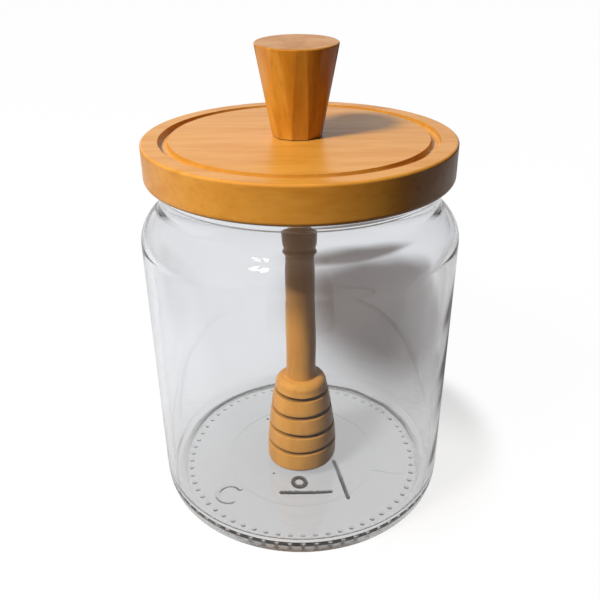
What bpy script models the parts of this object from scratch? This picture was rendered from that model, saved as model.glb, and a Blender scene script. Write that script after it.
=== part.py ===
"""Clear glass jar with a round wooden lid, a tapered knob on the lid and a honey dipper hanging inside.

Metres, +Z up. The jar stands on z = 0 round the Z axis, and the front of the object faces -Y.
"""

import math

import bmesh
import bpy
from mathutils import Matrix, Vector

GAP = 0.0003
STEPS = 72
SHARP_ANGLE = math.radians(32.0)
WELD_DISTANCE = 0.00001
CUT_DISTANCE = 0.000001

JAR_RADIUS_LOW = 0.05255
JAR_RADIUS_TOP = 0.05285
JAR_WALL = 0.0027
FOOT_RADIUS = 0.0498
FOOT_WIDTH = 0.0030
HEEL_ROUND = 0.0024
HEEL_TOP = 0.0095
PUSH_UP = 0.0008
PUSH_UP_SLOPE = 0.0016
FLOOR_TOP = 0.0030
FLOOR_FILLET = 0.0045
SHOULDER_START = 0.0970
SHOULDER_CENTRE = 0.03365
SHOULDER_RISE = 0.0140
SHOULDER_END = 0.0476
SHOULDER_INNER_END = 0.0460
NECK_OUTER = 0.0459
NECK_INNER = 0.0435
RIM_WIDTH = 0.0034
RIM_HEIGHT = 0.0026
RIM_TOP = 0.1172
RIM_FOOT = 0.1146
RIM_ARC_END = -20.0

LID_RADIUS = 0.0500
LID_UNDER = 0.1176
LID_TOP = 0.1295
LID_TOP_ROUND = 0.0008
LID_UNDER_ROUND = 0.0014
GROOVE_RADIUS = 0.0429
GROOVE_WIDTH = 0.0032
GROOVE_DEPTH = 0.0017
PLUG_RADIUS = 0.0428
PLUG_UNDER = 0.1163
PLUG_ROUND = 0.0005

KNOB_X = -0.0006
KNOB_Y = -0.0003
KNOB_FOOT_RADIUS = 0.0080
KNOB_TOP_RADIUS = 0.0129
KNOB_TOP = 0.1578
KNOB_EDGE_ROUND = 0.0005
KNOB_SPARE = 0.0020
KNOB_STEPS = 60
KNOB_LEAN = math.radians(2.4)
KNOB_FLATS = 10
KNOB_FLAT_TURN = math.radians(24.0)

DIPPER_X = -0.0003
DIPPER_LEAN_FRONT = math.radians(-0.65)
DIPPER_LEAN_SIDE = math.radians(-0.2)
DIPPER_TOP = PLUG_UNDER - GAP
COLLAR_RADIUS = 0.0058
COLLAR_UNDER = 0.0952
WAIST_RADIUS = 0.0055
WAIST_HEIGHT = 0.0918
BEAD_HEIGHT = 0.0892
BEAD_RADIUS = 0.0060
BEAD_HALF = 0.0020
BEAD_ROUND = 0.0010
SHAFT_TOP = 0.0864
SHAFT_TOP_RADIUS = 0.0051
SHAFT_RADIUS = 0.0052
SHAFT_HEIGHT = 0.0812
SHAFT_FOOT_RADIUS = 0.0056
HEAD_TOP = 0.0397
HEAD_TOP_RADIUS = 0.0094
HEAD_TOP_ROUND = 0.0026
HEAD_WIDE = 0.0050
HEAD_WIDE_RADIUS = 0.01345
HEAD_UNDER = 0.0034
HEAD_UNDER_ROUND = 0.0018
HEAD_TAPER = 0.0236
HEAD_BULGE = 3.24
SLOT_FIRST = 0.0344
SLOT_LAST = 0.0124
SLOTS = 4
SLOT_WIDTH = 0.0016
SLOT_DEPTH = 0.0042


def clear_scene():
    """Removes every object of the scene."""
    for old in list(bpy.data.objects):
        bpy.data.objects.remove(old, do_unlink=True)


def material(name, colour, roughness, transmission=0.0):
    """One plain material with its own colour and roughness."""
    made = bpy.data.materials.new(name)
    made.use_nodes = True
    shader = made.node_tree.nodes["Principled BSDF"]
    shader.inputs["Base Color"].default_value = (*colour, 1.0)
    shader.inputs["Roughness"].default_value = roughness
    shader.inputs["Metallic"].default_value = 0.0
    shader.inputs["Transmission Weight"].default_value = transmission
    return made


def arc(centre_r, centre_z, half_r, half_z, start, end, count):
    """Points of an elliptic arc in the (radius, height) plane, from one angle in degrees to another."""
    turns = [math.radians(start + (end - start) * i / count) for i in range(count + 1)]
    return [(centre_r + half_r * math.cos(t), centre_z + half_z * math.sin(t)) for t in turns]


def revolve(name, outline, steps, look):
    """Turns an outline about the Z axis: it starts on the axis, runs out and down, and ends on the axis."""
    mesh = bpy.data.meshes.new(name)
    mesh.from_pydata([(r, 0.0, z) for r, z in outline], [(i, i + 1) for i in range(len(outline) - 1)], [])
    made = bpy.data.objects.new(name, mesh)
    bpy.context.collection.objects.link(made)
    screw = made.modifiers.new("Turn", "SCREW")
    screw.axis = "Z"
    screw.angle = 2 * math.pi
    screw.steps = steps
    screw.render_steps = steps
    screw.use_merge_vertices = True
    screw.merge_threshold = WELD_DISTANCE
    finish(made, look)
    return made


def finish(made, look):
    """Applies the modifiers, shades the round faces smooth and gives the material."""
    bpy.context.view_layer.objects.active = made
    made.select_set(True)
    bpy.ops.object.convert(target="MESH")
    made.data.materials.clear()
    made.data.materials.append(look)
    made.data.shade_smooth()
    made.data.set_sharp_from_angle(angle=SHARP_ANGLE)
    made.select_set(False)


def shoulder(inset, end_r, neck_r):
    """The shoulder's ellipse up to a radius, then the hollow fillet that turns it into the upright neck."""
    half_r = JAR_RADIUS_TOP - SHOULDER_CENTRE - inset
    half_z = SHOULDER_RISE - inset
    end = math.acos((end_r - SHOULDER_CENTRE) / half_r)
    curve = arc(SHOULDER_CENTRE, SHOULDER_START, half_r, half_z, 0.0, math.degrees(end), 9)
    lean = math.atan2(half_r * math.sin(end), half_z * math.cos(end))
    fillet = (end_r - neck_r) / (1.0 - math.cos(lean))
    centre_z = curve[-1][1] + fillet * math.sin(lean)
    return curve + arc(neck_r + fillet, centre_z, fillet, fillet, 180.0 + math.degrees(lean), 180.0, 4)[1:]


def jar_outline():
    """Floor, inner wall, neck, rim with its slanted underside, outer wall, heel and foot ring of the jar."""
    inner_low = JAR_RADIUS_LOW - JAR_WALL
    floor = [(0.0, FLOOR_TOP)]
    floor += arc(inner_low - FLOOR_FILLET, FLOOR_TOP + FLOOR_FILLET, FLOOR_FILLET, FLOOR_FILLET, -90.0, 0.0, 5)
    inner = shoulder(JAR_WALL, SHOULDER_INNER_END, NECK_INNER)
    half_r = RIM_WIDTH / 2
    half_z = RIM_HEIGHT / 2
    rim = arc(NECK_INNER + half_r, RIM_TOP - half_z, half_r, half_z, 180.0, RIM_ARC_END, 12)
    rim += [(NECK_OUTER, RIM_FOOT)]
    outer = shoulder(0.0, SHOULDER_END, NECK_OUTER)[::-1]
    heel = [(JAR_RADIUS_LOW, HEEL_TOP)] + arc(FOOT_RADIUS, HEEL_ROUND, HEEL_ROUND, HEEL_ROUND, 0.0, -90.0, 5)
    ring = FOOT_RADIUS - FOOT_WIDTH
    foot = [(ring, 0.0), (ring - PUSH_UP_SLOPE, PUSH_UP), (0.0, PUSH_UP)]
    return floor + inner + rim + outer + heel + foot


def lid_outline():
    """Top of the lid with its round groove, the rounded rim, the underside and the shallow plug."""
    half = GROOVE_WIDTH / 2
    top = [(0.0, LID_TOP), (GROOVE_RADIUS - half, LID_TOP)]
    top += [(GROOVE_RADIUS - half / 3, LID_TOP - GROOVE_DEPTH), (GROOVE_RADIUS + half / 3, LID_TOP - GROOVE_DEPTH)]
    top += [(GROOVE_RADIUS + half, LID_TOP)]
    high = LID_TOP_ROUND
    rim = arc(LID_RADIUS - high, LID_TOP - high, high, high, 90.0, 0.0, 3)
    low = LID_UNDER_ROUND
    rim += arc(LID_RADIUS - low, LID_UNDER + low, low, low, 0.0, -90.0, 3)
    edge = PLUG_ROUND
    plug = [(PLUG_RADIUS, LID_UNDER)] + arc(PLUG_RADIUS - edge, PLUG_UNDER + edge, edge, edge, 0.0, -90.0, 2)
    return top + rim + plug + [(0.0, PLUG_UNDER)]


def head_radius(height):
    """Radius of the dipper's head, which widens downward in a slight curve."""
    above = height - HEAD_WIDE
    return HEAD_WIDE_RADIUS - HEAD_TAPER * above - HEAD_BULGE * above * above


def dipper_outline():
    """Collar, bead, shaft and the slotted head, as heights below the dipper's top."""
    line = [(0.0, DIPPER_TOP), (COLLAR_RADIUS, DIPPER_TOP), (COLLAR_RADIUS, COLLAR_UNDER)]
    line += [(WAIST_RADIUS, WAIST_HEIGHT)]
    line += arc(BEAD_RADIUS - BEAD_ROUND, BEAD_HEIGHT, BEAD_ROUND, BEAD_HALF, 60.0, -60.0, 4)
    line += [(SHAFT_TOP_RADIUS, SHAFT_TOP), (SHAFT_RADIUS, SHAFT_HEIGHT), (SHAFT_FOOT_RADIUS, HEAD_TOP)]
    high = HEAD_TOP_ROUND
    line += arc(HEAD_TOP_RADIUS - high, HEAD_TOP - high, high, high, 90.0, 10.0, 3)
    for i in range(SLOTS):
        middle = SLOT_FIRST + (SLOT_LAST - SLOT_FIRST) * i / (SLOTS - 1)
        upper = middle + SLOT_WIDTH / 2
        lower = middle - SLOT_WIDTH / 2
        core = head_radius(middle) - SLOT_DEPTH
        line += [(head_radius(upper), upper), (core, upper), (core, lower), (head_radius(lower), lower)]
    low = HEAD_UNDER_ROUND
    line += arc(HEAD_WIDE_RADIUS - low, HEAD_UNDER + low, low, low, 0.0, -90.0, 4)
    line += [(0.0, HEAD_UNDER)]
    return [(r, z - DIPPER_TOP) for r, z in line]


def make_knob(look):
    """A turned cone that widens upward, planed to flats that run out near its round top, then leaned and cut level."""
    height = KNOB_TOP - LID_TOP
    slope = (KNOB_TOP_RADIUS - KNOB_FOOT_RADIUS) / height
    knob = bmesh.new()
    bmesh.ops.create_cone(
        knob,
        cap_ends=True,
        segments=KNOB_STEPS,
        radius1=KNOB_FOOT_RADIUS - slope * KNOB_SPARE,
        radius2=KNOB_TOP_RADIUS,
        depth=height + KNOB_SPARE,
        matrix=Matrix.Translation((0.0, 0.0, (height - KNOB_SPARE) / 2)),
    )
    rim = [e for e in knob.edges if all(v.co.z > height / 2 for v in e.verts)]
    bmesh.ops.bevel(knob, geom=rim, offset=KNOB_EDGE_ROUND, segments=2, profile=0.5, affect="EDGES")
    foot_flat = KNOB_FOOT_RADIUS * math.cos(math.pi / KNOB_FLATS)
    rise = math.atan2(KNOB_TOP_RADIUS - foot_flat, height)
    for i in range(KNOB_FLATS):
        turn = KNOB_FLAT_TURN + 2 * math.pi * i / KNOB_FLATS
        out = Vector((math.cos(turn), math.sin(turn), 0.0))
        normal = out * math.cos(rise) - Vector((0.0, 0.0, math.sin(rise)))
        cut_off(knob, out * foot_flat, normal)
    bmesh.ops.rotate(knob, cent=(0.0, 0.0, 0.0), matrix=Matrix.Rotation(KNOB_LEAN, 3, "X"), verts=knob.verts)
    cut_off(knob, Vector((0.0, 0.0, GAP)), Vector((0.0, 0.0, -1.0)))
    bmesh.ops.remove_doubles(knob, verts=knob.verts, dist=2 * WELD_DISTANCE)
    bmesh.ops.recalc_face_normals(knob, faces=knob.faces)
    mesh = bpy.data.meshes.new("knob")
    knob.to_mesh(mesh)
    knob.free()
    made = bpy.data.objects.new("knob", mesh)
    bpy.context.collection.objects.link(made)
    made.location = (KNOB_X, KNOB_Y, LID_TOP)
    finish(made, look)


def cut_off(shape, point, normal):
    """Cuts the shape along a plane, takes off what lies on the normal's side and closes the cut."""
    every = list(shape.verts) + list(shape.edges) + list(shape.faces)
    cut = bmesh.ops.bisect_plane(
        shape, geom=every, dist=CUT_DISTANCE, plane_co=point, plane_no=normal, clear_outer=True
    )
    edges = [e for e in cut["geom_cut"] if isinstance(e, bmesh.types.BMEdge)]
    bmesh.ops.edgenet_fill(shape, edges=edges)


def main():
    clear_scene()
    glass = material("clear_glass", (0.86, 0.89, 0.88), 0.03, 1.0)
    lid_wood = material("lid_wood", (0.62, 0.36, 0.15), 0.40)
    knob_wood = material("knob_wood", (0.58, 0.31, 0.10), 0.38)
    dipper_wood = material("dipper_wood", (0.60, 0.34, 0.12), 0.45)
    revolve("jar", jar_outline(), STEPS, glass)
    revolve("lid", lid_outline(), STEPS, lid_wood)
    make_knob(knob_wood)
    dipper = revolve("dipper", dipper_outline(), STEPS // 2, dipper_wood)
    dipper.location = (DIPPER_X, 0.0, DIPPER_TOP)
    dipper.rotation_euler = (DIPPER_LEAN_FRONT, DIPPER_LEAN_SIDE, 0.0)


main()
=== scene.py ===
"""Honey jar with dipper: the finished surfaces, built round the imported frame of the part.

Metres, +Z up. The jar stands on z = 0 round the Z axis, and the front of the object faces -Y. Every shape
is a grid of points worked out with numpy, and every material is made of nodes.
"""

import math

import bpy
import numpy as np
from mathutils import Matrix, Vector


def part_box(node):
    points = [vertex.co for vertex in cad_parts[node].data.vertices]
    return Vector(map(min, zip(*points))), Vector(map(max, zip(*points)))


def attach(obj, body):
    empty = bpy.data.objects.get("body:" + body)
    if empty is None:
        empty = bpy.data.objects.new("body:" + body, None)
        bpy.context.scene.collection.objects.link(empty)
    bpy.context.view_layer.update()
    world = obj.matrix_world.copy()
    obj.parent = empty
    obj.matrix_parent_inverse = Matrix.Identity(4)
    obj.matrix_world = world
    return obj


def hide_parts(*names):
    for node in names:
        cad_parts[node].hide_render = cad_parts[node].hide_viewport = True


bl_info = {
    "name": "Honey jar with dipper",
    "version": (1, 0, 0),
    "blender": (4, 5, 0),
    "location": "3D View > Sidebar > Honey jar",
    "description": "Makes a glass jar with a wooden lid, knob and honey dipper, and a pale stage for it",
    "category": "Add Mesh",
}

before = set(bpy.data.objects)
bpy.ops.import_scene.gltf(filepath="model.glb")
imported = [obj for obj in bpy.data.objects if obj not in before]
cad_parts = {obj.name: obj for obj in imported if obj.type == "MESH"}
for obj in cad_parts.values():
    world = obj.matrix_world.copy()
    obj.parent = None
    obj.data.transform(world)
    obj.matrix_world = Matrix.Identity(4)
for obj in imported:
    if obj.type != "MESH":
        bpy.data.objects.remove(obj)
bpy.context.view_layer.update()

JAR_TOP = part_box("jar")[1]
LID_LOW, LID_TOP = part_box("lid")
DIPPER_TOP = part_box("dipper")[1]


def length(name, description, default):
    """A setting that holds a length in metres."""
    return bpy.props.FloatProperty(
        name=name, description=description, default=default, unit="LENGTH", precision=5
    )


def angle(name, description, degrees):
    """A setting that holds an angle, whose default is given in degrees."""
    return bpy.props.FloatProperty(
        name=name, description=description, default=math.radians(degrees), subtype="ANGLE"
    )


def amount(name, description, default):
    """A setting that holds a plain number."""
    return bpy.props.FloatProperty(name=name, description=description, default=default, precision=4)


def count(name, description, default):
    """A setting that holds a whole number."""
    return bpy.props.IntProperty(name=name, description=description, default=default, min=1)


def colour(name, description, default):
    """A setting that holds a linear colour."""
    return bpy.props.FloatVectorProperty(
        name=name, description=description, default=default, size=3, subtype="COLOR", min=0.0, max=1.0
    )


def spot(name, description, default):
    """A setting that holds a point or three lengths."""
    return bpy.props.FloatVectorProperty(
        name=name, description=description, default=default, size=3, subtype="TRANSLATION", precision=4
    )


class JarSettings(bpy.types.PropertyGroup):
    """Sizes and colours of the glass jar."""

    radius_low: length("Lower radius", "Outer radius above the heel", 0.05255)
    radius_top: length("Upper radius", "Outer radius under the shoulder", JAR_TOP.x)
    wall: length("Wall", "Thickness of the side wall", 0.0027)
    foot_radius: length("Foot radius", "Outer radius of the ring that the jar stands on", 0.0498)
    foot_width: length("Foot width", "Width of the foot ring", 0.0030)
    heel_top: length("Heel height", "Height where the wall curves in to the foot", 0.0095)
    push_up: length("Push-up", "Height of the underside above the foot", 0.0008)
    push_up_slope: length("Push-up slope", "Width of the slope inside the foot ring", 0.0016)
    floor_top: length("Floor", "Height of the floor inside", 0.0030)
    floor_fillet: length("Floor fillet", "Radius where the floor meets the wall inside", 0.0045)
    shoulder_start: length("Shoulder start", "Height where the wall starts to curve in", 0.0970)
    shoulder_centre: length("Shoulder centre", "Radius of the centre of the shoulder's curve", 0.03365)
    shoulder_rise: length("Shoulder rise", "Upright half axis of the shoulder's curve", 0.0140)
    shoulder_end: length("Shoulder end", "Outer radius where the shoulder turns into the neck", 0.0476)
    shoulder_inner_end: length("Inner shoulder end", "Inner radius where it turns into the neck", 0.0460)
    neck_outer: length("Neck outside", "Outer radius of the neck", 0.0459)
    neck_inner: length("Neck inside", "Inner radius of the neck", 0.0435)
    rim_width: length("Rim width", "Width of the rim's rounded section", 0.0034)
    rim_height: length("Rim height", "Height of the rim's rounded section", 0.0026)
    rim_top: length("Rim top", "Height of the jar's top", JAR_TOP.z)
    rim_foot: length("Rim foot", "Height where the rim's underside meets the neck", 0.1146)
    wave: length("Wall wave", "How far the inner wall wanders", 0.00007)
    dots: count("Dots", "Number of raised dots under the floor", 64)
    dot_circle: length("Dot circle", "Radius of the circle of dots", 0.0437)
    dot_radius: length("Dot radius", "Radius of one dot", 0.00118)
    dot_height: length("Dot height", "Height of one dot", 0.00038)
    mark_height: length("Mark height", "Height of the mould marks under the floor", 0.00045)
    dullness: amount("Dullness", "Roughness of the underside", 0.18)
    tint: colour("Glass", "Tint of the glass", (0.915, 0.92, 0.922))
    # The glass darkens towards this colour where it carries painted shade.
    painted_shade_tint: colour("Marks", "Colour of the dark mould marks", (0.020, 0.021, 0.023))


class LidSettings(bpy.types.PropertyGroup):
    """Sizes and colours of the wooden lid."""

    radius: length("Radius", "Outer radius", LID_TOP.x)
    under: length("Underside", "Height of the underside, which rests on the rim", 0.1176)
    top_round: length("Top edge", "Radius of the upper edge", 0.0008)
    under_round: length("Lower edge", "Radius of the lower edge", 0.0014)
    groove_radius: length("Groove radius", "Radius of the middle of the round groove", 0.0429)
    groove_width: length("Groove width", "Width of the groove at the top", 0.0032)
    groove_depth: length("Groove depth", "Depth of the groove", 0.0017)
    plug_radius: length("Plug radius", "Radius of the step that sits in the neck", 0.0428)
    plug_round: length("Plug edge", "Radius of the plug's edge", 0.0005)
    # The underside's edge is darkened with painted shade up to this height above the underside.
    painted_shade_height: length("Shade height", "How far the dark of the underside reaches up the edge", 0.0005)
    wander: length("Tool wander", "How far the groove wanders from a true circle", 0.00010)
    pale: colour("Pale wood", "Colour between the grain", (0.56, 0.252, 0.038))
    dark: colour("Dark wood", "Colour of the grain", (0.48, 0.188, 0.019))


class KnobSettings(bpy.types.PropertyGroup):
    """Sizes and colours of the knob."""

    centre_x: length("Centre X", "Place on the lid", -0.0006)
    centre_y: length("Centre Y", "Place on the lid", -0.0003)
    foot_radius: length("Foot radius", "Radius at the lid", 0.0080)
    top_radius: length("Top radius", "Radius at the top", 0.0129)
    height: length("Height", "Height above the lid", 0.0283)
    rim_round: length("Rim roundness", "Radius of the upper edge", 0.0005)
    dome: length("Dome", "Rise of the top's middle above its edge", 0.0001)
    lean: angle("Lean", "How far the knob leans to the front", 2.4)
    flats: count("Flats", "Number of flats round the foot", 10)
    flat_turn: angle("Flat turn", "Direction of the first edge between two flats", 6.0)
    gap: length("Gap", "Clearance to the lid", 0.0003)
    end_grain: amount("End grain", "How much darker the top is", 0.30)
    top_band: length("Top band", "Height of the darker top", 0.0012)
    pale: colour("Pale wood", "Colour between the grain", (0.58, 0.255, 0.032))
    dark: colour("Dark wood", "Colour of the grain", (0.45, 0.160, 0.010))


class DipperSettings(bpy.types.PropertyGroup):
    """Sizes and colours of the honey dipper."""

    centre_x: length("Centre X", "Place of its top end under the lid", -0.0003)
    lean_front: angle("Lean to the front", "Turn about the X axis", -0.65)
    lean_side: angle("Lean to the side", "Turn about the Y axis", -0.2)
    collar_radius: length("Collar radius", "Radius of the top end", 0.0058)
    collar_under: length("Collar end", "Height of the collar's lower end", 0.0952)
    waist_radius: length("Waist radius", "Radius between collar and bead", 0.0055)
    waist_height: length("Waist height", "Height of the waist", 0.0918)
    bead_height: length("Bead height", "Height of the bead's middle", 0.0892)
    bead_radius: length("Bead radius", "Radius of the bead", 0.0060)
    bead_half: length("Bead half height", "Half the height of the bead", 0.0020)
    bead_round: length("Bead roundness", "How far the bead's round stands out", 0.0010)
    shaft_top: length("Shaft top", "Height of the shaft's upper end", 0.0864)
    shaft_top_radius: length("Shaft top radius", "Radius at the shaft's upper end", 0.0051)
    shaft_radius: length("Shaft radius", "Radius of the shaft", 0.0052)
    shaft_height: length("Shaft height", "Height at which the shaft has its radius", 0.0812)
    shaft_foot_radius: length("Shaft foot radius", "Radius at the head", 0.0056)
    head_top: length("Head top", "Height of the head's upper face", 0.0397)
    head_top_radius: length("Head top radius", "Radius of the head's upper end", 0.0094)
    head_top_round: length("Head top edge", "Radius of the head's upper edge", 0.0026)
    head_wide: length("Head wide", "Height at which the head is widest", 0.0050)
    head_wide_radius: length("Head wide radius", "Radius where the head is widest", 0.01345)
    head_under: length("Head underside", "Height of the head's underside", 0.0034)
    head_under_round: length("Head lower edge", "Radius of the head's lower edge", 0.0018)
    head_taper: amount("Head taper", "Loss of radius for each metre up", 0.0236)
    head_bulge: amount("Head bulge", "Loss of radius for each square metre up", 3.24)
    slots: count("Slots", "Number of slots round the head", 4)
    slot_first: length("First slot", "Height of the highest slot", 0.0344)
    slot_last: length("Last slot", "Height of the lowest slot", 0.0124)
    slot_width: length("Slot width", "Width of a slot", 0.0016)
    slot_depth: length("Slot depth", "Depth of a slot", 0.0042)
    slot_round: length("Slot edge", "Radius of the edges at a slot", 0.00022)
    # Slots are darkened with painted shade, growing with depth up to this depth.
    slot_painted_shade_depth: length("Slot shade", "Depth at which a slot's wood is fully dark", 0.0016)
    pale: colour("Pale wood", "Colour between the grain", (0.70, 0.330, 0.060))
    dark: colour("Dark wood", "Colour of the grain", (0.56, 0.232, 0.032))


class StageSettings(bpy.types.PropertyGroup):
    """Camera and light."""

    camera_place: spot("Camera place", "Place of the camera", (-0.00146, -0.222292, 0.187007))
    yaw: angle("Yaw", "Turn of the camera to the right", 0.33)
    pitch: angle("Pitch", "Turn of the camera down", 27.747)
    roll: angle("Roll", "Turn of the picture", 0.451)
    lens: amount("Lens", "Focal length in millimetres on a 36 mm sensor", 42.186)
    lamp_turn: angle("Lamp direction", "Direction of the lamp round the object, from +X", 219.0)
    lamp_rise: angle("Lamp height", "Angle of the lamp above the floor", 47.5)
    lamp_distance: length("Lamp distance", "Distance of the lamps from the object", 1.2)
    lamp_size: length("Lamp size", "Side of the square lamp", 0.20)
    lamp_power: amount("Lamp power", "Power of the lamp in watts", 21.8)
    window_turn: angle("Window direction", "Direction of the two panes round the object, from +X", 228.0)
    window_rise: angle("Window height", "Angle of the panes above the floor", 57.5)
    pane_step: angle("Pane step", "Half the angle between the two panes", 5.0)
    pane_width: length("Pane width", "Width of a pane", 0.06)
    pane_height: length("Pane height", "Height of a pane", 0.17)
    pane_power: amount("Pane power", "Power of a pane in watts", 0.4)
    back_light: amount("Back light", "Strength of the light from behind", 0.8)
    left_light: amount("Left light", "Strength of the light from the left", 0.50)
    top_light: amount("Top light", "Strength of the light from above", 0.62)
    dim_light: amount("Dim light", "Strength of the light from everywhere", 0.03)
    left_glass: amount("Left through glass", "Strength of the room on the left, through glass", 0.85)
    right_glass: amount("Right through glass", "Strength of the room on the right, through glass", 0.50)
    floor_radius: length("Floor radius", "Radius of the round floor", 4.0)
    near_floor: colour("Near floor", "Colour of the floor under the jar", (0.71, 0.71, 0.72))
    far_floor: colour("Far floor", "Colour of the floor behind the jar", (0.87, 0.89, 0.93))
    dark_floor: colour("Dark floor", "Colour of the floor to scattered light", (0.054, 0.031, 0.011))
    # A painted shadow on the floor behind on the right, seen mostly through the glass.
    painted_shadow_floor: colour("Dim floor", "Colour of the dim part of the floor", (0.200, 0.176, 0.170))
    painted_shadow_place: spot("Dim place", "Middle of the dim part of the floor", (0.055, 0.130, 0.0))
    painted_shadow_halves: spot("Dim size", "Half axes of the dim part", (0.058, 0.085, 1.0))
    painted_shadow_turn: angle("Dim turn", "Direction of the dim part's long axis", 8.0)
    mirrored: length("Mirrored floor", "How far from the jar the glass mirrors the grey floor", 0.60)
    contact_place: spot("Contact place", "Middle of the shadow beside the jar", (0.030, 0.012, 0.0))
    contact_halves: spot("Contact size", "Half axes of the shadow beside the jar", (0.052, 0.060, 1.0))
    floor_drop: length("Floor drop", "How far the floor lies under the jar's foot", 0.00005)


SETTINGS = {
    "honey_jar_glass": JarSettings,
    "honey_jar_lid": LidSettings,
    "honey_jar_knob": KnobSettings,
    "honey_jar_dipper": DipperSettings,
    "honey_jar_stage": StageSettings,
}


# Outlines and grids


def arc(centre, halves, start, end, points):
    """An elliptic arc in the (radius, height) plane: centre plus half axes times cosine and sine."""
    turn = np.radians(np.linspace(start, end, points))
    return np.column_stack([centre[0] + halves[0] * np.cos(turn), centre[1] + halves[1] * np.sin(turn)])


HOLD = 0.00008
SAME_POINT = 1e-8


def line(start, end, points):
    """Even points of a straight line in the (radius, height) plane, with one more close to each end.

    The close points keep the rounding of a corner's smooth shading as narrow as a real edge.
    """
    start, end = np.asarray(start), np.asarray(end)
    share = np.linspace(0.0, 1.0, points)
    span = math.dist(start, end)
    if span > 4.0 * HOLD:
        share = np.sort(np.concatenate([share, [HOLD / span, 1.0 - HOLD / span]]))
    return start + share[:, None] * (end - start)


def outline(*parts):
    """Joins stretches of an outline and drops each point that repeats the one before it."""
    points = np.concatenate([np.atleast_2d(part) for part in parts])
    step = np.linalg.norm(np.diff(points, axis=0), axis=1)
    return points[np.concatenate([[True], step > SAME_POINT])]


def full_turn(columns):
    """Even angles once round the Z axis, from +X."""
    return np.linspace(0.0, 2.0 * np.pi, columns, endpoint=False)


def turned(path, columns):
    """A turned shape's grid: each (radius, height) of the path swept round the Z axis in equal steps."""
    turn = full_turn(columns)
    radius = path[:, :1]
    height = np.broadcast_to(path[:, 1:], (len(path), columns))
    return np.stack([radius * np.cos(turn), radius * np.sin(turn), height], axis=-1)


def ring_quads(first, rows, columns):
    """Quads between neighbouring rings whose points are numbered ring by ring from the first."""
    start = first + columns * np.arange(rows - 1)[:, None]
    here = np.arange(columns)[None, :]
    after = (here + 1) % columns
    corners = (start + here, start + columns + here, start + columns + after, start + after)
    return np.stack(corners, axis=-1).reshape(-1, 4)


def fan(pole, ring, upper):
    """Triangles from a pole to a ring of points, for the upper or the lower end of a shape."""
    after = np.roll(ring, -1)
    middle = np.full_like(ring, pole)
    return np.column_stack([middle, ring, after] if upper else [ring, middle, after])


def step_faces(coarse, fine, inward):
    """Faces between a coarse ring and a fine one, which has a whole multiple of its points."""
    share = len(fine) // len(coarse)
    piece = (share * np.arange(len(coarse))[:, None] + np.arange(share + 1)) % len(fine)
    if inward:
        return np.column_stack([coarse, fine[piece], np.roll(coarse, -1)])
    return np.column_stack([fine[piece][:, ::-1], coarse, np.roll(coarse, -1)])


def add_object(name, data):
    """A new object in the scene that shows the given data."""
    made = bpy.data.objects.new(name, data)
    bpy.context.collection.objects.link(made)
    return made


def make_mesh(name, points, faces, look):
    """A mesh object from one array of points and a list of arrays of faces, shaded smooth."""
    mesh = bpy.data.meshes.new(name)
    corners = np.concatenate([part.ravel() for part in faces]).astype(np.int32)
    sizes = np.concatenate([np.full(len(part), part.shape[1]) for part in faces])
    starts = np.concatenate([[0], np.cumsum(sizes)[:-1]]).astype(np.int32)
    mesh.vertices.add(len(points))
    mesh.vertices.foreach_set("co", points.astype(np.float32).ravel())
    mesh.loops.add(len(corners))
    mesh.loops.foreach_set("vertex_index", corners)
    mesh.polygons.add(len(sizes))
    mesh.polygons.foreach_set("loop_start", starts)
    mesh.update(calc_edges=True)
    mesh.shade_smooth()
    mesh.materials.append(look)
    return add_object(name, mesh)


def make_turned(name, grid, look):
    """A closed solid from a grid whose end rows lie on the axis: rings, and a fan at each pole."""
    rows, columns = grid.shape[0] - 2, grid.shape[1]
    points = np.concatenate([grid[:1, 0], grid[1:-1].reshape(-1, 3), grid[-1:, 0]])
    first_ring = 1 + np.arange(columns)
    last_ring = first_ring + (rows - 1) * columns
    ends = [fan(0, first_ring, True), fan(len(points) - 1, last_ring, False)]
    return make_mesh(name, points, [ring_quads(1, rows, columns), *ends], look)


def set_share(made, name, values):
    """Gives each point of a mesh a number that its material reads."""
    share = made.data.attributes.new(name, "FLOAT", "POINT")
    share.data.foreach_set("value", values.astype(np.float32))


def drift(turn, seed, waves):
    """A smooth closed wander between about -1 and 1 round a circle: a sum of sines with drawn phases."""
    draw = np.random.default_rng(seed)
    total = np.zeros_like(turn)
    for wave in waves:
        total += draw.uniform(0.5, 1.0) * np.sin(wave * turn + draw.uniform(0.0, 2.0 * np.pi))
    return total / math.sqrt(len(waves))


# Nodes


def fill(tree, made, sockets):
    """Fills a node's sockets, given by name or number, from other sockets or with plain values."""
    for key, value in sockets.items():
        if isinstance(value, bpy.types.NodeSocket):
            tree.links.new(value, made.inputs[key])
        else:
            made.inputs[key].default_value = value


def node(tree, kind, sockets=None, **properties):
    """Adds a node, sets its properties and then fills its sockets."""
    made = tree.nodes.new("ShaderNode" + kind)
    for key, value in properties.items():
        setattr(made, key, value)
    fill(tree, made, sockets or {})
    return made


def start_material(name):
    """A new material with its node tree and its shader."""
    made = bpy.data.materials.new(name)
    made.use_nodes = True
    return made, made.node_tree, made.node_tree.nodes["Principled BSDF"]


def combine(tree, operation, first, second):
    """Combines two numbers, each a socket or a plain number."""
    return node(tree, "Math", {0: first, 1: second}, operation=operation).outputs[0]


def blend_colours(tree, share, first, second):
    """Mixes two colours, each a socket or a linear colour. A Mix node numbers its colours 6 and 7."""
    first, second = [c if isinstance(c, bpy.types.NodeSocket) else (*c, 1.0) for c in (first, second)]
    made = node(tree, "Mix", {0: share, 6: first, 7: second}, data_type="RGBA")
    return made.outputs[2]


def spread(tree, value, low, high, new_low=0.0, new_high=1.0):
    """Maps a value from one range to another with a soft start and end."""
    sockets = {"Value": value, "From Min": low, "From Max": high, "To Min": new_low, "To Max": new_high}
    return node(tree, "MapRange", sockets, interpolation_type="SMOOTHSTEP").outputs["Result"]


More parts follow.
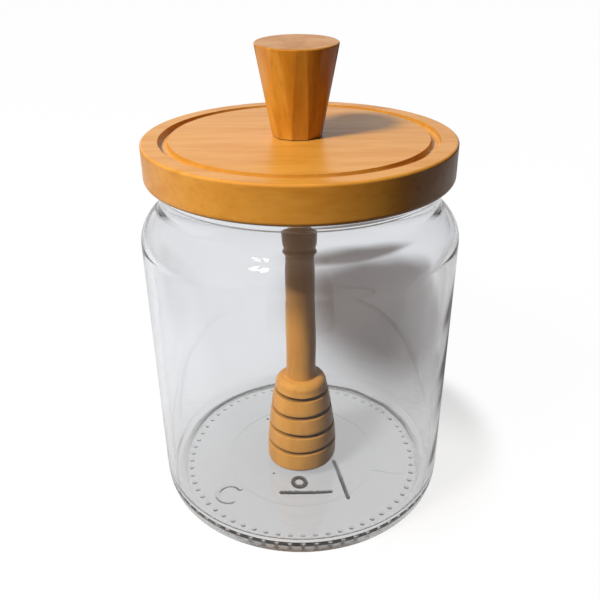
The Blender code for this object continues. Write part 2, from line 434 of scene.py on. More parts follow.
def noise(tree, place, scale, detail=1.0, roughness=0.5, distortion=0.0):
    """Three-dimensional noise at a place."""
    sockets = {
        "Vector": place,
        "Scale": scale,
        "Detail": detail,
        "Roughness": roughness,
        "Distortion": distortion,
    }
    return node(tree, "TexNoise", sockets).outputs["Fac"]


def stretched(tree, scale, degrees=0.0):
    """Object coordinates, turned round the Z axis and then scaled along each axis."""
    source = node(tree, "TexCoord").outputs["Object"]
    sockets = {"Vector": source, "Rotation": (0.0, 0.0, math.radians(degrees)), "Scale": scale}
    return node(tree, "Mapping", sockets).outputs["Vector"]


BROAD_SCALE = 30.0
STREAK_SCALE = 170.0
PORE_SCALE = 700.0
TONE_RANGE = (0.70, 1.20)
PORE_RANGE = (0.50, 0.75)
GRAIN_ROUGHNESS = (0.46, 0.34)
FLECK_SHADE = 0.50
# Share of the dark wood colour left at full painted shade and at full end grain
SHADE_AND_END_GRAIN_DARKEST = 0.10
GRAIN_DEPTH = 0.00004
VARNISH_IOR = 1.5
GLASS_IOR = 1.5
RIPPLE_SCALE = 70.0
RIPPLE_DEPTH = 0.00025


def wood(name, settings, grain, fleck, coat, coat_roughness, degrees=0.0):
    """Varnished wood: broad tone, long streaks and short dark flecks along the grain, under a clear coat.

    The grain holds how many times finer the pattern is along each axis, and the degrees turn it round Z.
    The fleck share is the strength of the flecks. Points of the mesh with a share of painted shade and end
    grain are darker.
    """
    made, tree, shader = start_material(name)
    dark = settings.dark
    place = stretched(tree, grain, degrees)
    broad = noise(tree, place, BROAD_SCALE)
    streaks = noise(tree, place, STREAK_SCALE, detail=4.0, roughness=0.6, distortion=0.3)
    pores = noise(tree, place, PORE_SCALE)
    tone = combine(tree, "ADD", streaks, broad)
    body = blend_colours(tree, spread(tree, tone, *TONE_RANGE), dark, settings.pale)
    flecks = spread(tree, pores, *PORE_RANGE, 0.0, fleck)
    body = blend_colours(tree, flecks, body, [FLECK_SHADE * value for value in dark])
    # Painted shade in the slots and under the lid's edge, and the knob's darker end grain, darken the wood
    # here.
    painted_shade_and_end_grain = node(tree, "Attribute", attribute_name="painted_shade_and_end_grain").outputs["Fac"]
    body = blend_colours(tree, painted_shade_and_end_grain, body, [SHADE_AND_END_GRAIN_DARKEST * value for value in dark])
    height = combine(tree, "SUBTRACT", streaks, flecks)
    bump = node(tree, "Bump", {"Strength": 0.25, "Distance": GRAIN_DEPTH, "Height": height})
    sockets = {
        "Base Color": body,
        "Roughness": spread(tree, streaks, 0.3, 0.7, *GRAIN_ROUGHNESS),
        "Normal": bump.outputs["Normal"],
        "Coat Weight": coat,
        "Coat Roughness": coat_roughness,
        "Coat IOR": VARNISH_IOR,
        "Specular IOR Level": 0.3,
    }
    fill(tree, shader, sockets)
    return made


def glass(settings):
    """Clear pressed glass, slightly rippled, which lets the lamps' light straight through.

    The mesh says where painted shade darkens it, on the mould marks and the dots, and how dull its
    underside is.
    """
    made, tree, shader = start_material("clear_glass")
    painted_glass_shade = node(tree, "Attribute", attribute_name="painted_glass_shade").outputs["Fac"]
    dull = node(tree, "Attribute", attribute_name="dull").outputs["Fac"]
    ripple = noise(tree, stretched(tree, (1.0, 1.0, 0.45)), RIPPLE_SCALE)
    bump = node(tree, "Bump", {"Strength": 0.12, "Distance": RIPPLE_DEPTH, "Height": ripple})
    # The base colour darkens towards the painted shade tint by the painted shade share.
    sockets = {
        "Base Color": blend_colours(tree, painted_glass_shade, settings.tint, settings.painted_shade_tint),
        "Roughness": combine(tree, "MULTIPLY", dull, settings.dullness),
        "IOR": GLASS_IOR,
        "Transmission Weight": 1.0,
        "Normal": bump.outputs["Normal"],
    }
    fill(tree, shader, sockets)
    clear = node(tree, "BsdfTransparent", {"Color": (*settings.tint, 1.0)})
    shade = node(tree, "LightPath").outputs["Is Shadow Ray"]
    both = node(tree, "MixShader", {0: shade, 1: shader.outputs["BSDF"], 2: clear.outputs["BSDF"]})
    tree.links.new(both.outputs["Shader"], tree.nodes["Material Output"].inputs["Surface"])
    return made


# Jar

RIM_ARC_END = -20.0
DULL_HEIGHT = 0.0012
# DOT_SHADE and ARC_SHADE are shares of painted shade in the glass's colour, on the dots and on the open
# arc.
DOT_SHADE = 0.45
DOT_DULLNESS = 0.90
ARC_SHADE = 0.15
WALL_COLUMNS = 192
DOT_COLUMNS = 1536
DOT_ROWS = 15
DISC_CELLS = 192
DOT_BAND = (0.0449, 0.0424)
DISC_RADIUS = 0.0422


def shoulder(jar, inset, end_radius, neck_radius, points):
    """The shoulder's ellipse up to a radius, then the concave fillet that turns it into the neck."""
    half_r = jar.radius_top - jar.shoulder_centre - inset
    half_z = jar.shoulder_rise - inset
    end = math.acos((end_radius - jar.shoulder_centre) / half_r)
    middle = (jar.shoulder_centre, jar.shoulder_start)
    curve = arc(middle, (half_r, half_z), 0.0, math.degrees(end), points)
    lean = math.atan2(half_r * math.sin(end), half_z * math.cos(end))
    fillet = (end_radius - neck_radius) / (1.0 - math.cos(lean))
    centre = (neck_radius + fillet, curve[-1, 1] + fillet * math.sin(lean))
    return outline(curve, arc(centre, (fillet, fillet), 180.0 + math.degrees(lean), 180.0, points // 2))


def heel(jar, points):
    """The heel from the wall to the foot: the third powers of its width and height add up to one."""
    turn = np.radians(np.linspace(0.0, 90.0, points))
    half_r = jar.radius_low - jar.foot_radius
    out = jar.foot_radius + half_r * np.cos(turn) ** (2.0 / 3.0)
    up = jar.heel_top - jar.heel_top * np.sin(turn) ** (2.0 / 3.0)
    return np.column_stack([out, up])


def inner_outline(jar):
    """Floor, fillet, wall and shoulder of the inside, from the middle of the floor to the neck."""
    wall_low = jar.radius_low - jar.wall
    centre = (wall_low - jar.floor_fillet, jar.floor_top + jar.floor_fillet)
    fillet = arc(centre, (jar.floor_fillet, jar.floor_fillet), -90.0, 0.0, 12)
    curve = shoulder(jar, jar.wall, jar.shoulder_inner_end, jar.neck_inner, 16)
    return outline(
        line((0.0, jar.floor_top), fillet[0], 8), fillet, line(fillet[-1], curve[0], 26), curve
    )


def outer_outline(jar):
    """Rim, shoulder, wall, heel and foot of the outside, from the neck to the start of the dots."""
    half_r = jar.rim_width / 2.0
    half_z = jar.rim_height / 2.0
    centre = (jar.neck_inner + half_r, jar.rim_top - half_z)
    bead = arc(centre, (half_r, half_z), 180.0, RIM_ARC_END, 28)
    rim = outline(bead, line(bead[-1], (jar.neck_outer, jar.rim_foot), 5))
    curve = shoulder(jar, 0.0, jar.shoulder_end, jar.neck_outer, 16)[::-1]
    low = heel(jar, 16)
    ring = jar.foot_radius - jar.foot_width
    slope = line((ring, 0.0), (ring - jar.push_up_slope, jar.push_up), 4)
    return outline(rim, curve, line(curve[-1], low[0], 24), low, slope, (DOT_BAND[0], jar.push_up))


def disc_grid(radius, cells):
    """A square grid bent to a disc, in which each square round the middle becomes a circle."""
    side = np.linspace(-1.0, 1.0, cells + 1)
    across, along = np.meshgrid(side, side, indexing="ij")
    wide = np.abs(across) >= np.abs(along)
    size = np.where(wide, across, along)
    other = np.where(wide, along, across)
    turn = np.divide(other, size, out=np.zeros_like(size), where=size != 0.0) * math.pi / 4.0
    near = size * np.cos(turn)
    far = size * np.sin(turn)
    return radius * np.where(wide, near, far), radius * np.where(wide, far, near)


def disc_border(x, y):
    """Numbers of the disc grid's border points in the order of their angle from +X."""
    edge = np.zeros(x.shape, bool)
    edge[[0, -1]] = True
    edge[:, [0, -1]] = True
    numbers = np.flatnonzero(edge)
    turn = np.arctan2(y.ravel()[numbers], x.ravel()[numbers])
    return numbers[np.argsort(np.round(turn, 6) % (2.0 * np.pi))]


def bar_distance(x, y, start, end):
    """Distance from each point to the straight line between two points."""
    start, end = np.array(start), np.array(end)
    along = end - start
    share = ((x - start[0]) * along[0] + (y - start[1]) * along[1]) / (along @ along)
    share = np.clip(share, 0.0, 1.0)
    return np.hypot(x - start[0] - share * along[0], y - start[1] - share * along[1])


def half_round(distance, half):
    """Height of a half-round ridge: the root of one less the squared distance in half widths."""
    return np.sqrt(np.clip(1.0 - (distance / half) ** 2, 0.0, None))


RING_MARK = {"centre": (-0.0010, -0.0173), "radius": 0.0023, "half": 0.00085}
LONG_BAR = {"start": (-0.0078, -0.0226), "end": (0.0105, -0.0222), "half": 0.00075}
SLANT_BAR = {"start": (0.0128, -0.0062), "end": (0.0168, -0.0258), "half": 0.00072}
SPECKS = ((-0.0108, -0.0122), (-0.01475, 0.0222))
SPECK_HALF = 0.00045
OPEN_ARC = {"centre": (-0.0268, -0.0230), "radius": 0.0043, "half": 0.00085, "start": 30.0, "end": 290.0}
SEAM_RADIUS = 0.029
SEAM_SPOKE = {"start": (0.0279, -0.0112), "end": (0.0386, -0.0136)}
SEAM_HALF = 0.0006
SEAM_SHARE = 0.28


def dark_marks(x, y):
    """Heights from 0 to 1 of the ring, the two bars and the specks, whose darkness through the floor is
    painted shade.
    """
    ring = np.hypot(x - RING_MARK["centre"][0], y - RING_MARK["centre"][1]) - RING_MARK["radius"]
    heights = [half_round(ring, RING_MARK["half"])]
    for bar in (LONG_BAR, SLANT_BAR):
        heights.append(half_round(bar_distance(x, y, bar["start"], bar["end"]), bar["half"]))
    for speck in SPECKS:
        heights.append(half_round(np.hypot(x - speck[0], y - speck[1]), SPECK_HALF))
    return np.max(heights, axis=0)


def clear_marks(x, y):
    """Heights of the open arc, a ridge with round ends on part of a circle, and of the low mould seam."""
    right = x - OPEN_ARC["centre"][0]
    back = y - OPEN_ARC["centre"][1]
    turn = np.degrees(np.arctan2(back, right)) % 360.0
    nearest = np.radians(np.clip(turn, OPEN_ARC["start"], OPEN_ARC["end"]))
    spot_x = OPEN_ARC["radius"] * np.cos(nearest)
    spot_y = OPEN_ARC["radius"] * np.sin(nearest)
    ridge = half_round(np.hypot(right - spot_x, back - spot_y), OPEN_ARC["half"])
    ring = half_round(np.hypot(x, y) - SEAM_RADIUS, SEAM_HALF)
    spoke = half_round(bar_distance(x, y, SEAM_SPOKE["start"], SEAM_SPOKE["end"]), SEAM_HALF)
    return np.maximum(ridge, SEAM_SHARE * np.maximum(ring, spoke))


def dots(jar, x, y):
    """Heights from 0 to 1 of the dots: one less the squared distance from the nearest centre, squared."""
    pitch = 2.0 * np.pi / jar.dots
    nearest = np.round(np.arctan2(y, x) / pitch) * pitch
    away = np.hypot(x - jar.dot_circle * np.cos(nearest), y - jar.dot_circle * np.sin(nearest))
    return np.clip(1.0 - (away / jar.dot_radius) ** 2, 0.0, None) ** 2


def wavy(jar, grid):
    """Moves the inner wall in and out by smooth waves that run round and up it and fade at its ends."""
    turn = np.arctan2(grid[..., 1], grid[..., 0])
    height = grid[..., 2]
    span = (height - jar.floor_top) / (jar.shoulder_start - jar.floor_top)
    fade = np.sin(np.pi * np.clip(span, 0.0, 1.0)) ** 0.5
    radius = np.hypot(grid[..., 0], grid[..., 1])
    fade = np.where(radius > jar.neck_inner, fade, 0.0)
    wave = drift(turn + 9.0 * height, 3, (2, 3, 5))
    wave += 0.5 * drift(turn - 30.0 * height, 4, (7, 11))
    share = 1.0 + jar.wave * wave * fade / np.maximum(radius, jar.neck_inner)
    return grid * np.stack([share, share, np.ones_like(share)], axis=-1)


def make_jar(jar):
    """The jar as one closed skin: wall rings, finer rings with the dots, and a disc with the marks.

    Its painted shade share darkens the dots a little, the open arc and the seam faintly and, from half
    their height up, the dark marks in full.
    Its dull share roughens the underside and the dots.
    """
    inside = wavy(jar, turned(inner_outline(jar), WALL_COLUMNS))
    outside = turned(outer_outline(jar), WALL_COLUMNS)
    walls = np.concatenate([inside[1:], outside[1:]])
    band = turned(line((DOT_BAND[0], jar.push_up), (DOT_BAND[1], jar.push_up), DOT_ROWS)[1:], DOT_COLUMNS)
    bumps = dots(jar, band[..., 0], band[..., 1])
    band[..., 2] -= jar.dot_height * bumps
    x, y = disc_grid(DISC_RADIUS, DISC_CELLS)
    dark = dark_marks(x, y)
    relief = np.maximum(dark, clear_marks(x, y))
    disc = np.stack([x, y, jar.push_up - jar.mark_height * relief], axis=-1).reshape(-1, 3)

    points = np.concatenate([inside[:1, 0], walls.reshape(-1, 3), band.reshape(-1, 3), disc])
    band_start = 1 + walls.shape[0] * WALL_COLUMNS
    disc_start = band_start + band.shape[0] * DOT_COLUMNS
    last_wall = band_start - WALL_COLUMNS + np.arange(WALL_COLUMNS)
    first_band = band_start + np.arange(DOT_COLUMNS)
    last_band = disc_start - DOT_COLUMNS + np.arange(DOT_COLUMNS)
    cell = (np.arange(DISC_CELLS)[:, None] * (DISC_CELLS + 1) + np.arange(DISC_CELLS)).ravel() + disc_start
    faces = [
        fan(0, 1 + np.arange(WALL_COLUMNS), True),
        ring_quads(1, walls.shape[0], WALL_COLUMNS),
        step_faces(last_wall, first_band, True),
        ring_quads(band_start, band.shape[0], DOT_COLUMNS),
        step_faces(disc_start + disc_border(x, y), last_band, False),
        np.column_stack([cell, cell + 1, cell + DISC_CELLS + 2, cell + DISC_CELLS + 1]),
    ]
    made = make_mesh("glass_jar", points, faces, glass(jar))
    # Painted shade: in full on the dark marks from half their height, faintly on the rest of the relief.
    marks = np.maximum(np.minimum(1.0, 2.0 * dark), ARC_SHADE * relief).ravel()
    set_share(made, "painted_glass_shade", np.concatenate([np.zeros(band_start), DOT_SHADE * bumps.ravel(), marks]))
    dull = (points[:, 2] < DULL_HEIGHT).astype(float)
    dull[band_start:disc_start] += DOT_DULLNESS * bumps.ravel()
    set_share(made, "dull", dull)
    return made


# Lid

LID_COLUMNS = 720
WANDER_FALL = 2.2
PAINTED_UNDERSIDE_SHADE = 0.8


def groove(lid, points):
    """The groove across its width: a flat-bottomed trough, whose depth falls off with the tenth power."""
    side = np.sin(np.radians(np.linspace(-90.0, 90.0, points)))
    radius = lid.groove_radius + side * lid.groove_width / 2.0
    return np.column_stack([radius, LID_TOP.z - lid.groove_depth * (1.0 - side**10)])


def make_lid(lid):
    """The lid: top with a slightly wandering groove, rounded rim, underside and shallow plug, with painted
    shade along the underside's edge.
    """
    trough = groove(lid, 34)
    high = lid.top_round
    low = lid.under_round
    edge = lid.plug_round
    upper_rim = arc((lid.radius - high, LID_TOP.z - high), (high, high), 90.0, 0.0, 8)
    lower_rim = arc((lid.radius - low, lid.under + low), (low, low), 0.0, -90.0, 8)
    plug_edge = arc((lid.plug_radius - edge, LID_LOW.z + edge), (edge, edge), 0.0, -90.0, 5)
    path = outline(
        line((0.0, LID_TOP.z), trough[0], 14),
        trough,
        line(trough[-1], upper_rim[0], 5),
        upper_rim,
        line(upper_rim[-1], lower_rim[0], 8),
        lower_rim,
        line(lower_rim[-1], (lid.plug_radius, lid.under), 9),
        plug_edge,
        line(plug_edge[-1], (0.0, LID_LOW.z), 6),
    )
    grid = turned(path, LID_COLUMNS)
    turn = full_turn(LID_COLUMNS)[None, :]
    away = (path[:, :1] - lid.groove_radius) / lid.groove_width
    near = np.exp(-((WANDER_FALL * away) ** 2)) * (path[:, 1:] > lid.under)
    wander = drift(turn, 11, (9, 14, 23, 37, 58)) * near
    share = 1.0 + lid.wander * wander / np.maximum(path[:, :1], lid.groove_width)
    grid = grid * np.stack([share, share, np.ones_like(share)], axis=-1)
    grain = (0.16, 1.0, 1.0)
    look = wood("lid_wood", lid, grain, fleck=0.16, coat=0.35, coat_roughness=0.28, degrees=3.0)
    made = make_turned("wooden_lid", grid, look)
    # Painted shade: the underside, the plug's side and the foot of the lower edge darken towards the dark
    # wood, outside the plug's flat bottom.
    painted_under_shade = np.clip((lid.under + lid.painted_shade_height - path[:, 1]) / lid.painted_shade_height, 0.0, 1.0)
    painted_under_shade *= PAINTED_UNDERSIDE_SHADE * (path[:, 0] > lid.plug_radius - lid.plug_round)
    set_share(made, "painted_shade_and_end_grain", np.concatenate([[0.0], np.repeat(painted_under_shade[1:-1], LID_COLUMNS), [0.0]]))
    return made


# Knob

KNOB_COLUMNS = 480


def make_knob(knob):
    """The knob: at each height the smaller of a cone and a polygon, whose flats run out at the top."""
    top = knob.rim_round
    rim = arc((knob.top_radius - top, knob.height - top), (top, top), 90.0, 10.0, 8)
    path = outline(
        line((0.0, knob.height + knob.dome), rim[0], 8),
        rim,
        line(rim[-1], (knob.foot_radius, 0.0), 60),
        line((knob.foot_radius, 0.0), (0.0, 0.0), 4),
    )
    turn = full_turn(KNOB_COLUMNS)[None, :]
    part = 2.0 * np.pi / knob.flats
    from_flat = (turn - knob.flat_turn) % part - part / 2.0
    up = path[:, 1:] / knob.height
    foot_flat = knob.foot_radius * math.cos(part / 2.0)
    flat = (foot_flat + (knob.top_radius - foot_flat) * up) / np.cos(from_flat)
    radius = np.minimum(path[:, :1], flat)
    x = radius * np.cos(turn)
    y = radius * np.sin(turn)
    z = np.broadcast_to(path[:, 1:], radius.shape)
    leaned_y = y - math.sin(knob.lean) * z
    leaned_z = math.cos(knob.lean) * z + math.sin(knob.lean) * y * np.clip(up, 0.0, 1.0)
    above = LID_TOP.z + knob.gap + leaned_z * (1.0 - knob.gap / knob.height)
    grid = np.stack([x + knob.centre_x, leaned_y + knob.centre_y, above], axis=-1)
    look = wood("knob_wood", knob, (1.0, 1.0, 0.10), fleck=0.22, coat=0.35, coat_roughness=0.25)
    made = make_turned("tapered_knob", grid, look)
    height = np.array([point.co.z for point in made.data.vertices])
    set_share(made, "painted_shade_and_end_grain", knob.end_grain * (height > height.max() - knob.top_band))
    return made


# Dipper

DIPPER_COLUMNS = 240
SLOT_PAINTED_SHADE_MAX = 0.7


def head_radius(dipper, height):
    """Radius of the head, which widens downward in a slight curve."""
    above = height - dipper.head_wide
    return dipper.head_wide_radius - dipper.head_taper * above - dipper.head_bulge * above**2


def slot(dipper, middle):
    """Outline of one slot: rounded upper lip, upper face, bottom, lower face and rounded lower lip."""
    half = dipper.slot_width / 2.0
    lip = dipper.slot_round
    upper = arc((head_radius(dipper, middle + half) - lip, middle + half + lip), (lip, lip), 0.0, -90.0, 4)
    lower = arc((head_radius(dipper, middle - half) - lip, middle - half - lip), (lip, lip), 90.0, 0.0, 4)
    core = head_radius(dipper, middle) - dipper.slot_depth
    upper_face = line(upper[-1], (core, middle + half), 4)
    bottom = line((core, middle + half), (core, middle - half), 3)
    return outline(upper, upper_face, bottom, line((core, middle - half), lower[0], 4), lower)


def dipper_outline(dipper):
    """Collar, bead, shaft and slotted head, from the top end down."""
    centre = (dipper.bead_radius - dipper.bead_round, dipper.bead_height)
    bead = arc(centre, (dipper.bead_round, dipper.bead_half), 60.0, -60.0, 12)
    high = dipper.head_top_round
    low = dipper.head_under_round
    head_top = arc((dipper.head_top_radius - high, dipper.head_top - high), (high, high), 90.0, 10.0, 8)
    head_under = arc((dipper.head_wide_radius - low, dipper.head_under + low), (low, low), 0.0, -90.0, 10)
    parts = [
        line((0.0, DIPPER_TOP.z), (dipper.collar_radius, DIPPER_TOP.z), 3),
        line((dipper.collar_radius, DIPPER_TOP.z), (dipper.collar_radius, dipper.collar_under), 8),
        line((dipper.collar_radius, dipper.collar_under), (dipper.waist_radius, dipper.waist_height), 4),
        bead,
        line((dipper.shaft_top_radius, dipper.shaft_top), (dipper.shaft_radius, dipper.shaft_height), 4),
        line((dipper.shaft_radius, dipper.shaft_height), (dipper.shaft_foot_radius, dipper.head_top), 24),
        head_top,
    ]
    last = head_top[-1]
    for middle in np.linspace(dipper.slot_first, dipper.slot_last, dipper.slots):
        cut = slot(dipper, middle)
        heights = np.linspace(last[1], cut[0, 1], 6)[1:-1]
        parts.append(np.column_stack([head_radius(dipper, heights), heights]))
        parts.append(cut)
        last = cut[-1]
    heights = np.linspace(last[1], head_under[0, 1], 7)[1:-1]
    parts.append(np.column_stack([head_radius(dipper, heights), heights]))
    parts.append(head_under)
    parts.append(line(head_under[-1], (0.0, dipper.head_under), 4))
    return outline(*parts)


def make_dipper(dipper):
    """The dipper: its turned outline, leaned about its top end, with painted shade inside its slots."""
    path = dipper_outline(dipper)
    grid = turned(path, DIPPER_COLUMNS)
    top = np.array([0.0, 0.0, DIPPER_TOP.z])
    lean = Matrix.Rotation(dipper.lean_side, 3, "Y") @ Matrix.Rotation(dipper.lean_front, 3, "X")
    grid = (grid - top) @ np.array(lean).T + top + np.array([dipper.centre_x, 0.0, 0.0])
    look = wood("dipper_wood", dipper, (1.0, 1.0, 0.14), fleck=0.14, coat=0.30, coat_roughness=0.30)
    made = make_turned("honey_dipper", grid, look)
    # Painted shade inside the slots: the wood darkens with the depth below the head's outline.
    inward = head_radius(dipper, path[:, 1]) - path[:, 0]
    inside = (path[:, 1] < dipper.head_top - dipper.slot_depth) & (path[:, 1] > dipper.head_wide)
    share = np.where(inside, np.clip(inward / dipper.slot_painted_shade_depth, 0.0, SLOT_PAINTED_SHADE_MAX), 0.0)
    rings = np.repeat(share[1:-1], DIPPER_COLUMNS)
    set_share(made, "painted_shade_and_end_grain", np.concatenate([[0.0], rings, [0.0]]))
    return made


# Stage

WHITE = (1.0, 1.0, 1.0)
ROOM_COLOUR = (1.0, 0.95, 0.90)
LAMP_COLOUR = (1.0, 0.97, 0.93)
BACKWARD = (-0.6, 0.8, 0.0)
FAR_BACK = 0.090
OPEN_GLOW = 0.98
SHADOW_GLOW = 0.60
THROUGH_GLOW = 0.75
MIRRORED_SHARE = 0.5
SENSOR_WIDTH = 36.0


def oval(tree, place, middle, halves, turn, low, high):
    """A soft oval on the floor: one inside, none outside, and its edge between two shares of its size."""
    sockets = {"Vector": place, "Location": middle, "Rotation": (0.0, 0.0, turn), "Scale": halves}
    mapped = node(tree, "Mapping", sockets, vector_type="TEXTURE")
    away = node(tree, "VectorMath", {0: mapped.outputs["Vector"]}, operation="LENGTH").outputs["Value"]
    return spread(tree, away, low, high, 1.0, 0.0)


def unscattered(tree):
    """One for a ray that no rough surface has scattered on its way from the camera, else none."""
    return combine(tree, "LESS_THAN", node(tree, "LightPath").outputs["Diffuse Depth"], 0.5)


def through_glass(tree):
    """One for a ray that comes from the camera through the glass, with nothing that scatters it."""
    path = node(tree, "LightPath")
    return combine(tree, "MULTIPLY", unscattered(tree), path.outputs["Is Transmission Ray"])


def floor_colour(tree, place, stage):
    """Grey in front, pale behind on the left, and a dim, brownish painted shadow behind on the right."""
    along = node(tree, "VectorMath", {0: place, 1: BACKWARD}, operation="DOT_PRODUCT")
    behind = spread(tree, along.outputs["Value"], 0.0, FAR_BACK)
    pale = blend_colours(tree, behind, stage.near_floor, stage.far_floor)
    # Painted shadow: a soft dim oval behind on the right.
    painted_shadow = oval(tree, place, stage.painted_shadow_place, stage.painted_shadow_halves, stage.painted_shadow_turn, 0.60, 1.25)
    return blend_colours(tree, painted_shadow, pale, stage.painted_shadow_floor)


def floor_look(stage):
    """The floor as each kind of ray finds it: the share of glow over the floor's plain, lit colour.

    The camera finds white with a contact shadow. A ray through the glass finds the grey floor, and so
    does, at half strength, one that is mirrored close to the jar. A ray that wood scatters finds it dark.
    """
    look, tree, shader = start_material("pale_floor")
    place = node(tree, "TexCoord").outputs["Object"]
    close = oval(tree, place, (0.0, 0.0, 0.0), (stage.mirrored,) * 3, 0.0, 0.90, 1.10)
    direct = node(tree, "LightPath").outputs["Is Camera Ray"]
    indirect = combine(tree, "SUBTRACT", unscattered(tree), direct)
    back = node(tree, "SeparateXYZ", {"Vector": place}).outputs["Y"]
    half = combine(tree, "MULTIPLY", close, spread(tree, back, -0.10, -0.055, 0.0, MIRRORED_SHARE))
    mirrored = combine(tree, "MULTIPLY", half, indirect)
    through = combine(tree, "MAXIMUM", through_glass(tree), mirrored)
    grey = floor_colour(tree, place, stage)
    seen = combine(tree, "MAXIMUM", through, direct)
    base = blend_colours(tree, seen, stage.dark_floor, grey)
    fill(tree, shader, {"Base Color": base, "Roughness": 0.8, "Specular IOR Level": 0.0})
    contact = oval(tree, place, stage.contact_place, stage.contact_halves, 0.0, 0.70, 1.15)
    white = combine(tree, "MULTIPLY", direct, spread(tree, contact, 0.0, 1.0, OPEN_GLOW, SHADOW_GLOW))
    share = combine(tree, "ADD", white, combine(tree, "MULTIPLY", through, THROUGH_GLOW))
    glow = node(tree, "Emission", {"Color": blend_colours(tree, direct, grey, WHITE)})
    both = node(tree, "MixShader", {0: share, 1: shader.outputs["BSDF"], 2: glow.outputs["Emission"]})
    tree.links.new(both.outputs["Shader"], tree.nodes["Material Output"].inputs["Surface"])
    return look


def make_floor(stage):
    """A flat round floor just under the jar's foot."""
    columns = 96
    ring = full_turn(columns)
    edge = np.column_stack([np.cos(ring), np.sin(ring), np.zeros(columns)]) * stage.floor_radius
    points = np.concatenate([np.zeros((1, 3)), edge])
    points[:, 2] = -stage.floor_drop
    return make_mesh("pale_floor", points, [fan(0, 1 + np.arange(columns), True)], floor_look(stage))


def make_world(stage):
    """Room light: a bright wall behind, some light from the left and above, and white to the camera.

    Through the glass the room is grey, and each light fades in over a range of the direction's X, Y or Z.
    """
    world = bpy.data.worlds.new("soft_room")
    bpy.context.scene.world = world
    world.use_nodes = True
    tree = world.node_tree
    way = node(tree, "SeparateXYZ", {"Vector": node(tree, "TexCoord").outputs["Generated"]})
    behind = spread(tree, way.outputs["Y"], 0.70, 0.95, 0.0, stage.back_light)
    left = spread(tree, way.outputs["X"], -1.0, 0.0, stage.left_light, 0.0)
    above = spread(tree, way.outputs["Z"], 0.75, 1.0, 0.0, stage.top_light)
    glow = behind
    for light in (left, above, stage.dim_light):
        glow = combine(tree, "ADD", glow, light)
    room = node(tree, "Background", {"Color": (*ROOM_COLOUR, 1.0), "Strength": glow})
    side = spread(tree, way.outputs["X"], -0.8, 0.8, stage.left_glass, stage.right_glass)
    beyond = node(tree, "Background", {"Color": (*WHITE, 1.0), "Strength": side})
    lit = node(tree, "MixShader", {0: through_glass(tree), 1: room.outputs[0], 2: beyond.outputs[0]})
    direct = node(tree, "Background", {"Color": (*WHITE, 1.0), "Strength": 1.0})
    seen = node(tree, "LightPath").outputs["Is Camera Ray"]
    shown = node(tree, "MixShader", {0: seen, 1: lit.outputs[0], 2: direct.outputs[0]})
    tree.links.new(shown.outputs["Shader"], tree.nodes["World Output"].inputs["Surface"])


def direction(turn, rise):
    """The direction at an angle round the object from +X and at an angle above the floor."""
    level = math.cos(rise)
    return Vector((level * math.cos(turn), level * math.sin(turn), math.sin(rise)))


def make_lamp(name, way, distance, size, power, target):
    """A soft rectangular lamp in a direction from a point, turned to it."""
    data = bpy.data.lights.new(name, "AREA")
    data.shape = "RECTANGLE"
    data.size, data.size_y = size
    data.energy = power
    data.color = LAMP_COLOUR
    made = add_object(name, data)
    made.location = way * distance + target
    made.rotation_euler = way.to_track_quat("Z", "Y").to_euler()
    return made


def make_lamps(stage):
    """The main lamp in front on the left, which nothing mirrors or shows through glass, and two panes.

    The panes are small and weak, and are there to be mirrored.
    """
    middle = Vector((0.0, 0.0, LID_TOP.z / 2.0))
    way = direction(stage.lamp_turn, stage.lamp_rise)
    size = (stage.lamp_size, stage.lamp_size)
    main = make_lamp("lamp", way, stage.lamp_distance, size, stage.lamp_power, middle)
    main.visible_glossy = False
    main.visible_transmission = False
    for number, side in enumerate((-1.0, 1.0)):
        way = direction(stage.window_turn + side * stage.pane_step, stage.window_rise)
        size = (stage.pane_width, stage.pane_height)
        make_lamp(f"pane_{number}", way, stage.lamp_distance, size, stage.pane_power, middle)


def make_camera(stage):
    """The camera at the photographed viewing angle: pitched down, with a slight yaw and roll."""
    yaw, pitch, roll = stage.yaw, stage.pitch, stage.roll
    forward = Vector((math.sin(yaw) * math.cos(pitch), math.cos(yaw) * math.cos(pitch), -math.sin(pitch)))
    right = Vector((math.cos(yaw), -math.sin(yaw), 0.0))
    down = forward.cross(right)
    turned_right = math.cos(roll) * right + math.sin(roll) * down
    turned_down = math.cos(roll) * down - math.sin(roll) * right
    data = bpy.data.cameras.new("camera")
    data.lens = stage.lens
    data.sensor_width = SENSOR_WIDTH
    data.clip_start = 0.01
    made = add_object("camera", data)
    axes = Matrix((turned_right, -turned_down, -forward)).transposed()
    made.matrix_world = Matrix.Translation(stage.camera_place) @ axes.to_4x4()
    bpy.context.scene.camera = made


# Operators and panel


class MakeGlassJar(bpy.types.Operator):
    """Make the glass jar"""

    bl_idname = "honey_jar.make_jar"
    bl_label = "Glass jar"

    def execute(self, context):
        piece = make_jar(context.scene.honey_jar_glass)
        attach(piece, "root")
        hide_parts("jar")
        return {"FINISHED"}


class MakeLid(bpy.types.Operator):
    """Make the wooden lid"""

    bl_idname = "honey_jar.make_lid"
    bl_label = "Wooden lid"

    def execute(self, context):
        piece = make_lid(context.scene.honey_jar_lid)
        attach(piece, "root")
        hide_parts("lid")
        return {"FINISHED"}


class MakeKnob(bpy.types.Operator):
    """Make the knob on the lid"""

    bl_idname = "honey_jar.make_knob"
    bl_label = "Knob"

    def execute(self, context):
        piece = make_knob(context.scene.honey_jar_knob)
        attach(piece, "root")
        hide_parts("knob")
        return {"FINISHED"}


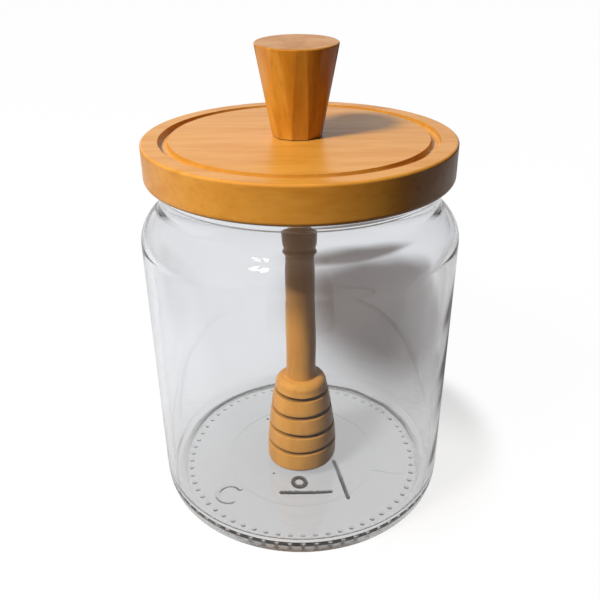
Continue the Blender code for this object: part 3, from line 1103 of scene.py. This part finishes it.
class MakeDipper(bpy.types.Operator):
    """Make the honey dipper"""

    bl_idname = "honey_jar.make_dipper"
    bl_label = "Honey dipper"

    def execute(self, context):
        piece = make_dipper(context.scene.honey_jar_dipper)
        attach(piece, "root")
        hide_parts("dipper")
        return {"FINISHED"}


class MakeStage(bpy.types.Operator):
    """Make the floor, the light and the camera"""

    bl_idname = "honey_jar.make_stage"
    bl_label = "Stage"

    def execute(self, context):
        stage = context.scene.honey_jar_stage
        make_floor(stage)
        make_world(stage)
        make_lamps(stage)
        make_camera(stage)
        context.scene.view_settings.view_transform = "Standard"
        return {"FINISHED"}


OPERATORS = (MakeGlassJar, MakeLid, MakeKnob, MakeDipper, MakeStage)


class HoneyJarPanel(bpy.types.Panel):
    """Lists the pieces in the sidebar"""

    bl_idname = "VIEW3D_PT_honey_jar"
    bl_label = "Honey jar with dipper"
    bl_space_type = "VIEW_3D"
    bl_region_type = "UI"
    bl_category = "Honey jar"

    def draw(self, context):
        for operator in OPERATORS:
            self.layout.operator(operator.bl_idname)


def register():
    """Adds the settings to the scene, and the operators and the panel."""
    for name, settings in SETTINGS.items():
        bpy.utils.register_class(settings)
        setattr(bpy.types.Scene, name, bpy.props.PointerProperty(type=settings))
    for made in (*OPERATORS, HoneyJarPanel):
        bpy.utils.register_class(made)


def unregister():
    """Takes away what register adds, in the opposite order."""
    for made in reversed((*OPERATORS, HoneyJarPanel)):
        bpy.utils.unregister_class(made)
    for name, settings in reversed(SETTINGS.items()):
        delattr(bpy.types.Scene, name)
        bpy.utils.unregister_class(settings)


def write_sizes():
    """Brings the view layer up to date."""
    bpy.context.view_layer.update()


def main():
    """Makes every piece and the stage."""
    register()
    bpy.ops.honey_jar.make_jar()
    bpy.ops.honey_jar.make_lid()
    bpy.ops.honey_jar.make_knob()
    bpy.ops.honey_jar.make_dipper()
    bpy.ops.honey_jar.make_stage()
    bpy.context.view_layer.update()
    write_sizes()


if __name__ == "__main__":
    main()
